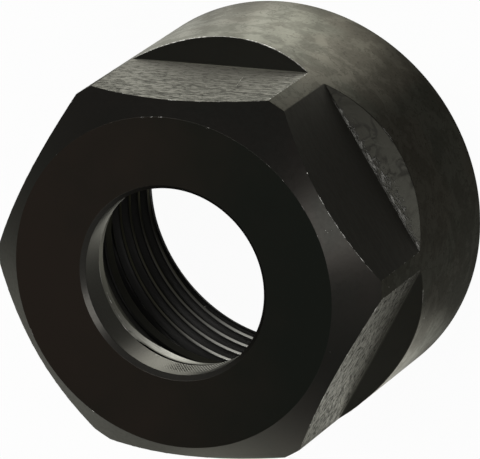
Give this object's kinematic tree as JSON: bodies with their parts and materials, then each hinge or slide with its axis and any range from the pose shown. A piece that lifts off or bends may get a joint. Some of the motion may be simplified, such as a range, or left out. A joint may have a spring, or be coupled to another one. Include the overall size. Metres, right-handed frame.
{
  "type": "collet nut",
  "caption": "Hexagon nut with a round collar; its inner cone closes a spring collet on a tool holder and an off-centre ring draws the collet out.",
  "frame": {"origin": "centre of the threaded end face, on the surface that the nut stands on", "axes": "+Z along the nut's axis to the front face with the mouth; one pair of flats faces +Y and -Y"},
  "size_m": [0.028, 0.028, 0.0197],
  "materials": {
    "black_oxide_steel": "black oxide on turned and milled steel, oiled satin"
  },
  "bodies": {
    "root": {"collet_nut": "black_oxide_steel"}
  },
  "joints": []
}
